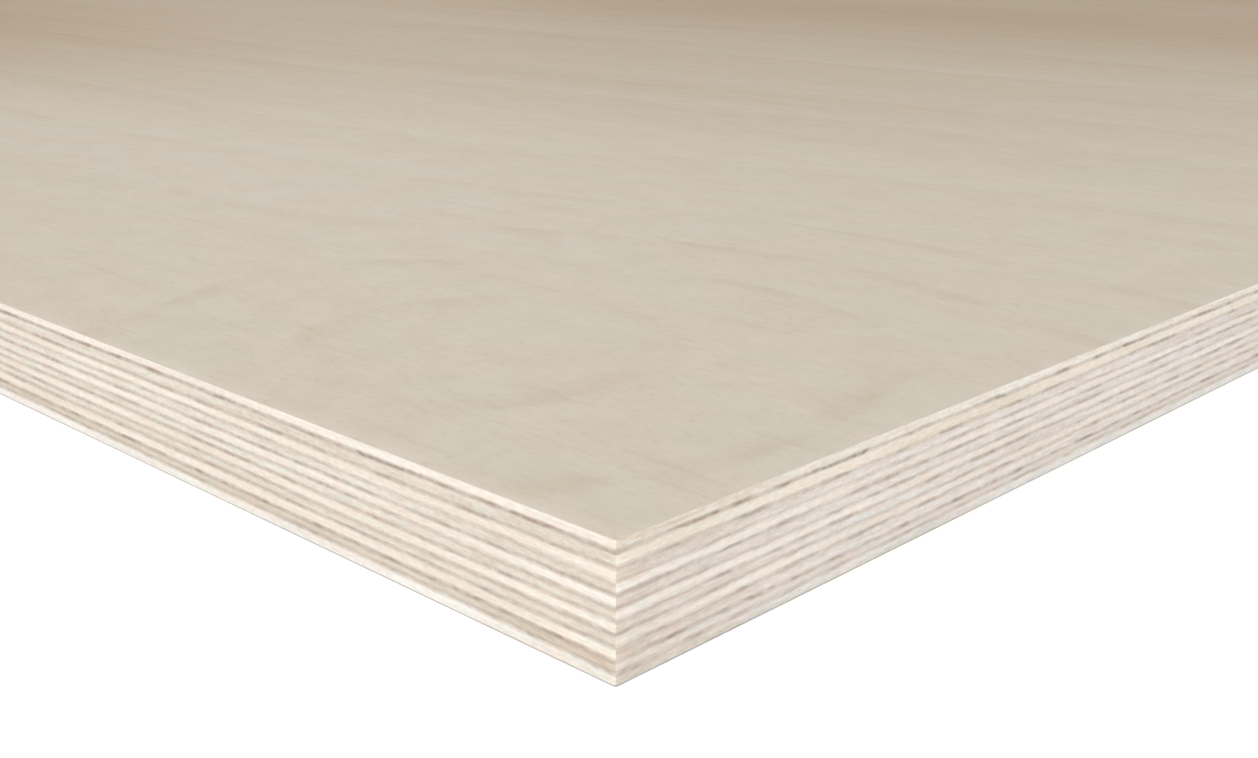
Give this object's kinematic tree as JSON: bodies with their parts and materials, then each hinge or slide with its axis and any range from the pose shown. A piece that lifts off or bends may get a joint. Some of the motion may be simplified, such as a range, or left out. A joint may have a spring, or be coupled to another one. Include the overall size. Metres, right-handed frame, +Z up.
{
  "type": "birch plywood sheet",
  "caption": "Full-size flat sheet of cross-laminated birch plywood with square-sawn edges that show every veneer and glue line.",
  "frame": {"origin": "middle of the underside, on the level floor that the sheet lies on", "axes": "+X along the sheet's 2440 mm length and the grain of its face, +Y across its 1220 mm width, +Z up through its thickness from back to face"},
  "size_m": [2.44, 1.22, 0.015],
  "materials": {
    "outer_veneer": "sanded birch veneer, unfinished, matt",
    "long_veneer": "sawn birch veneer with its grain along the sheet",
    "cross_veneer": "sawn birch veneer with its grain across the sheet",
    "glue": "cured phenolic resin film, dark brown"
  },
  "bodies": {
    "root": {"face_veneer": "outer_veneer", "glue_line_01": "glue", "crossband_02": "cross_veneer", "glue_line_02": "glue", "centre_03": "long_veneer", "glue_line_03": "glue", "crossband_04": "cross_veneer", "glue_line_04": "glue", "centre_05": "long_veneer", "glue_line_05": "glue", "crossband_06": "cross_veneer", "glue_line_06": "glue", "centre_07": "long_veneer", "glue_line_07": "glue", "crossband_08": "cross_veneer", "glue_line_08": "glue", "centre_09": "long_veneer", "glue_line_09": "glue", "crossband_10": "cross_veneer", "glue_line_10": "glue", "back_veneer": "outer_veneer"}
  },
  "joints": []
}
